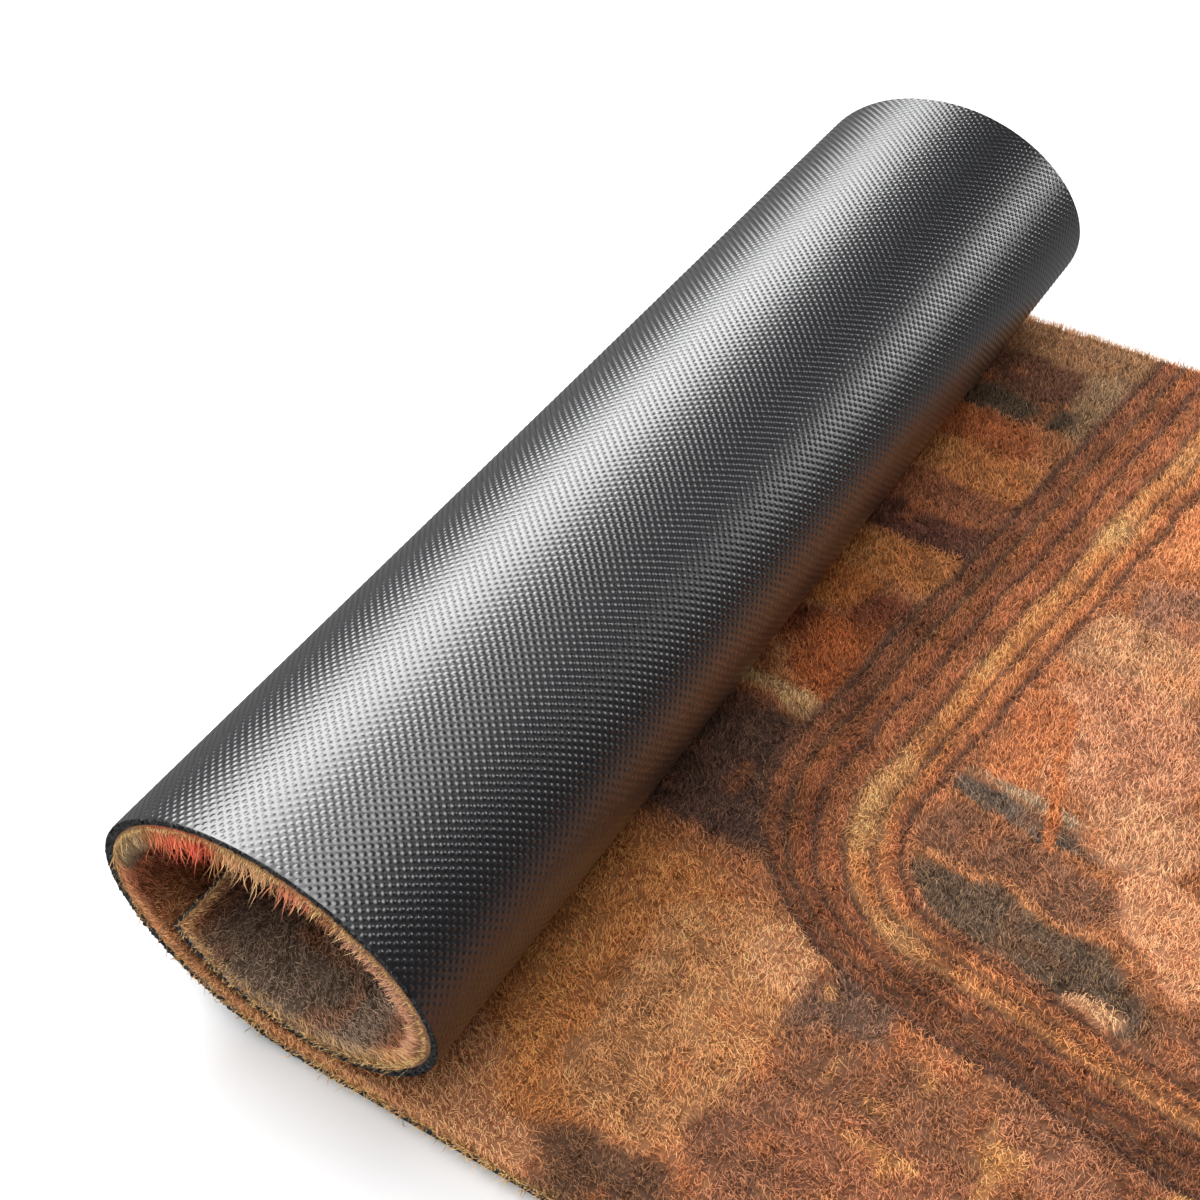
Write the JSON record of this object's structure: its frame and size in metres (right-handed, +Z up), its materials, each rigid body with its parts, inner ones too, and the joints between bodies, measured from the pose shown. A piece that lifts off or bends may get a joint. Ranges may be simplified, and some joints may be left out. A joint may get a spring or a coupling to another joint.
{
  "type": "rolled door mat",
  "caption": "Rectangular coir-pile mat on an embossed vinyl backing, partly rolled up with the pile inwards; the roll opens out flat.",
  "frame": {"origin": "middle of the partly rolled mat's footprint, on the ground", "axes": "+Z up out of the pile; +Y along the roll's axis, which is the mat's width; +X along the mat's length, from the roll towards the flat end"},
  "size_m": [0.323, 0.406, 0.088],
  "materials": {
    "embossed_vinyl": "black flexible vinyl, moulded all over with small raised nubs in a staggered lattice, semi-gloss",
    "printed_coir": "short stiff coir-like fibres, golden tan at the cut edges, with a soft dye print in orange, rust, brown and tan on the tips"
  },
  "bodies": {
    "flat_stretch": {"backing_flat": "embossed_vinyl", "pile_flat": "printed_coir"},
    "strip_01": {"backing_strip_01": "embossed_vinyl", "pile_strip_01": "printed_coir"},
    "strip_02": {"backing_strip_02": "embossed_vinyl", "pile_strip_02": "printed_coir"},
    "strip_03": {"backing_strip_03": "embossed_vinyl", "pile_strip_03": "printed_coir"},
    "strip_04": {"backing_strip_04": "embossed_vinyl", "pile_strip_04": "printed_coir"},
    "strip_05": {"backing_strip_05": "embossed_vinyl", "pile_strip_05": "printed_coir"},
    "strip_06": {"backing_strip_06": "embossed_vinyl", "pile_strip_06": "printed_coir"},
    "strip_07": {"backing_strip_07": "embossed_vinyl", "pile_strip_07": "printed_coir"},
    "strip_08": {"backing_strip_08": "embossed_vinyl", "pile_strip_08": "printed_coir"},
    "strip_09": {"backing_strip_09": "embossed_vinyl", "pile_strip_09": "printed_coir"},
    "strip_10": {"backing_strip_10": "embossed_vinyl", "pile_strip_10": "printed_coir"},
    "strip_11": {"backing_strip_11": "embossed_vinyl", "pile_strip_11": "printed_coir"},
    "strip_12": {"backing_strip_12": "embossed_vinyl", "pile_strip_12": "printed_coir"},
    "strip_13": {"backing_strip_13": "embossed_vinyl", "pile_strip_13": "printed_coir"},
    "strip_14": {"backing_strip_14": "embossed_vinyl", "pile_strip_14": "printed_coir"},
    "strip_15": {"backing_strip_15": "embossed_vinyl", "pile_strip_15": "printed_coir"},
    "strip_16": {"backing_strip_16": "embossed_vinyl", "pile_strip_16": "printed_coir"},
    "strip_17": {"backing_strip_17": "embossed_vinyl", "pile_strip_17": "printed_coir"},
    "strip_18": {"backing_strip_18": "embossed_vinyl", "pile_strip_18": "printed_coir"},
    "strip_19": {"backing_strip_19": "embossed_vinyl", "pile_strip_19": "printed_coir"},
    "strip_20": {"backing_strip_20": "embossed_vinyl", "pile_strip_20": "printed_coir"},
    "strip_21": {"backing_strip_21": "embossed_vinyl", "pile_strip_21": "printed_coir"},
    "strip_22": {"backing_strip_22": "embossed_vinyl", "pile_strip_22": "printed_coir"},
    "strip_23": {"backing_strip_23": "embossed_vinyl", "pile_strip_23": "printed_coir"},
    "strip_24": {"backing_strip_24": "embossed_vinyl", "pile_strip_24": "printed_coir"}
  },
  "joints": [
    {"name": "unroll", "type": "hinge", "parent": "flat_stretch", "child": "strip_01", "pos_m": [-0.09848, 0, 0], "axis": [0, -1, 0], "range_deg": [0, 8.75]},
    {"name": "bend_02", "type": "hinge", "parent": "strip_01", "child": "strip_02", "pos_m": [-0.12168, 0, 0.00357], "axis": [0, -1, 0], "range_deg": [0, 17.5]},
    {"name": "bend_03", "type": "hinge", "parent": "strip_02", "child": "strip_03", "pos_m": [-0.14075, 0, 0.01297], "axis": [0, -1, 0], "range_deg": [0, 17.5]},
    {"name": "bend_04", "type": "hinge", "parent": "strip_03", "child": "strip_04", "pos_m": [-0.15326, 0, 0.02495], "axis": [0, -1, 0], "range_deg": [0, 17.5]},
    {"name": "bend_05", "type": "hinge", "parent": "strip_04", "child": "strip_05", "pos_m": [-0.15954, 0, 0.0364], "axis": [0, -1, 0], "range_deg": [0, 17.5]},
    {"name": "bend_06", "type": "hinge", "parent": "strip_05", "child": "strip_06", "pos_m": [-0.16148, 0, 0.04612], "axis": [0, -1, 0], "range_deg": [0, 17.5]},
    {"name": "bend_07", "type": "hinge", "parent": "strip_06", "child": "strip_07", "pos_m": [-0.16051, 0, 0.05499], "axis": [0, -1, 0], "range_deg": [0, 17.5]},
    {"name": "bend_08", "type": "hinge", "parent": "strip_07", "child": "strip_08", "pos_m": [-0.15636, 0, 0.0644], "axis": [0, -1, 0], "range_deg": [0, 17.5]},
    {"name": "bend_09", "type": "hinge", "parent": "strip_08", "child": "strip_09", "pos_m": [-0.14752, 0, 0.07448], "axis": [0, -1, 0], "range_deg": [0, 17.5]},
    {"name": "bend_10", "type": "hinge", "parent": "strip_09", "child": "strip_10", "pos_m": [-0.13297, 0, 0.08331], "axis": [0, -1, 0], "range_deg": [0, 17.5]},
    {"name": "bend_11", "type": "hinge", "parent": "strip_10", "child": "strip_11", "pos_m": [-0.11378, 0, 0.08801], "axis": [0, -1, 0], "range_deg": [0, 17.5]},
    {"name": "bend_12", "type": "hinge", "parent": "strip_11", "child": "strip_12", "pos_m": [-0.09322, 0, 0.08666], "axis": [0, -1, 0], "range_deg": [0, 17.5]},
    {"name": "bend_13", "type": "hinge", "parent": "strip_12", "child": "strip_13", "pos_m": [-0.07531, 0, 0.0797], "axis": [0, -1, 0], "range_deg": [0, 17.5]},
    {"name": "bend_14", "type": "hinge", "parent": "strip_13", "child": "strip_14", "pos_m": [-0.06277, 0, 0.06963], "axis": [0, -1, 0], "range_deg": [0, 17.5]},
    {"name": "bend_15", "type": "hinge", "parent": "strip_14", "child": "strip_15", "pos_m": [-0.05593, 0, 0.0594], "axis": [0, -1, 0], "range_deg": [0, 17.5]},
    {"name": "bend_16", "type": "hinge", "parent": "strip_15", "child": "strip_16", "pos_m": [-0.05337, 0, 0.05059], "axis": [0, -1, 0], "range_deg": [0, 17.5]},
    {"name": "bend_17", "type": "hinge", "parent": "strip_16", "child": "strip_17", "pos_m": [-0.05354, 0, 0.04288], "axis": [0, -1, 0], "range_deg": [0, 17.5]},
    {"name": "bend_18", "type": "hinge", "parent": "strip_17", "child": "strip_18", "pos_m": [-0.05621, 0, 0.035], "axis": [0, -1, 0], "range_deg": [0, 17.5]},
    {"name": "bend_19", "type": "hinge", "parent": "strip_18", "child": "strip_19", "pos_m": [-0.0625, 0, 0.02642], "axis": [0, -1, 0], "range_deg": [0, 17.5]},
    {"name": "bend_20", "type": "hinge", "parent": "strip_19", "child": "strip_20", "pos_m": [-0.07356, 0, 0.01831], "axis": [0, -1, 0], "range_deg": [0, 17.5]},
    {"name": "bend_21", "type": "hinge", "parent": "strip_20", "child": "strip_21", "pos_m": [-0.08903, 0, 0.01306], "axis": [0, -1, 0], "range_deg": [0, 17.5]},
    {"name": "bend_22", "type": "hinge", "parent": "strip_21", "child": "strip_22", "pos_m": [-0.10656, 0, 0.01268], "axis": [0, -1, 0], "range_deg": [0, 17.5]},
    {"name": "bend_23", "type": "hinge", "parent": "strip_22", "child": "strip_23", "pos_m": [-0.12273, 0, 0.01739], "axis": [0, -1, 0], "range_deg": [0, 17.5]},
    {"name": "bend_24", "type": "hinge", "parent": "strip_23", "child": "strip_24", "pos_m": [-0.13478, 0, 0.02544], "axis": [0, -1, 0], "range_deg": [0, 17.5]}
  ],
  "couplings": [
    {"joint": "bend_02", "follows": "unroll", "ratio": 2},
    {"joint": "bend_03", "follows": "unroll", "ratio": 2},
    {"joint": "bend_04", "follows": "unroll", "ratio": 2},
    {"joint": "bend_05", "follows": "unroll", "ratio": 2},
    {"joint": "bend_06", "follows": "unroll", "ratio": 2},
    {"joint": "bend_07", "follows": "unroll", "ratio": 2},
    {"joint": "bend_08", "follows": "unroll", "ratio": 2},
    {"joint": "bend_09", "follows": "unroll", "ratio": 2},
    {"joint": "bend_10", "follows": "unroll", "ratio": 2},
    {"joint": "bend_11", "follows": "unroll", "ratio": 2},
    {"joint": "bend_12", "follows": "unroll", "ratio": 2},
    {"joint": "bend_13", "follows": "unroll", "ratio": 2},
    {"joint": "bend_14", "follows": "unroll", "ratio": 2},
    {"joint": "bend_15", "follows": "unroll", "ratio": 2},
    {"joint": "bend_16", "follows": "unroll", "ratio": 2},
    {"joint": "bend_17", "follows": "unroll", "ratio": 2},
    {"joint": "bend_18", "follows": "unroll", "ratio": 2},
    {"joint": "bend_19", "follows": "unroll", "ratio": 2},
    {"joint": "bend_20", "follows": "unroll", "ratio": 2},
    {"joint": "bend_21", "follows": "unroll", "ratio": 2},
    {"joint": "bend_22", "follows": "unroll", "ratio": 2},
    {"joint": "bend_23", "follows": "unroll", "ratio": 2},
    {"joint": "bend_24", "follows": "unroll", "ratio": 2}
  ]
}
